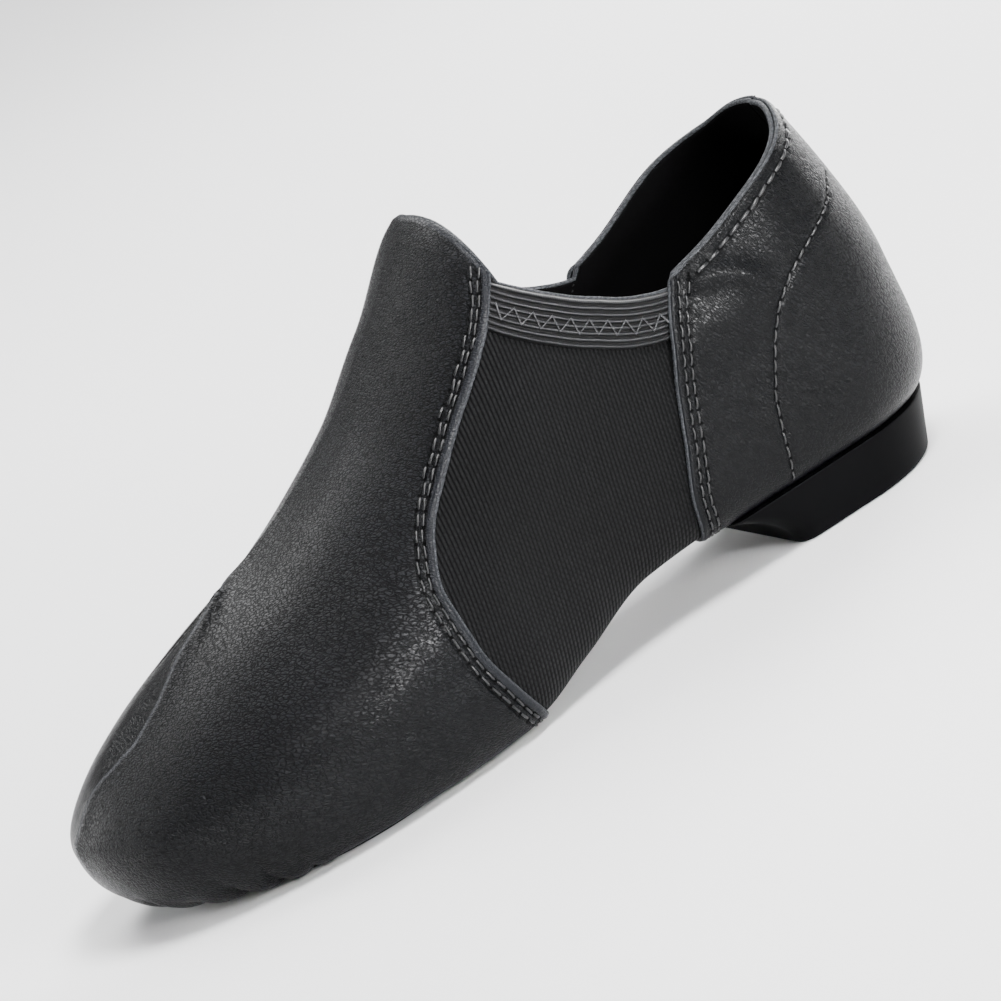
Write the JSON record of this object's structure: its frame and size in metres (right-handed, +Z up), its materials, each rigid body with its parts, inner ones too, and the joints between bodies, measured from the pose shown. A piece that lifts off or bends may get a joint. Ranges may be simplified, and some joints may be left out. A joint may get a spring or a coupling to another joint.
{
  "type": "jazz shoe",
  "caption": "Black slip-on jazz dance shoe: leather vamp and counter, elastic gore, split rubber sole with a gathered toe and a low heel",
  "frame": {"origin": "on the floor plane under the middle of the shoe's bounding box", "axes": "+X to the toe, +Y to the wearer's left (the outer side of this left shoe), +Z up; the shoe stands flat on Z = 0"},
  "size_m": [0.208, 0.0719, 0.0973],
  "materials": {
    "gore": "matt ribbed elastic over a plain lining",
    "leather": "soft black leather with a fine grain and a low sheen",
    "band": "matt ribbed elastic",
    "insole": "matt",
    "sole_rubber": "matt, finely textured",
    "heel_rubber": "smooth, low sheen"
  },
  "bodies": {
    "root": {"upper": "gore", "vamp": "leather", "counter": "leather", "collar_band_outer": "band", "collar_band_inner": "band", "insole": "insole", "forefoot_sole": "sole_rubber", "heel": "heel_rubber"}
  },
  "joints": []
}
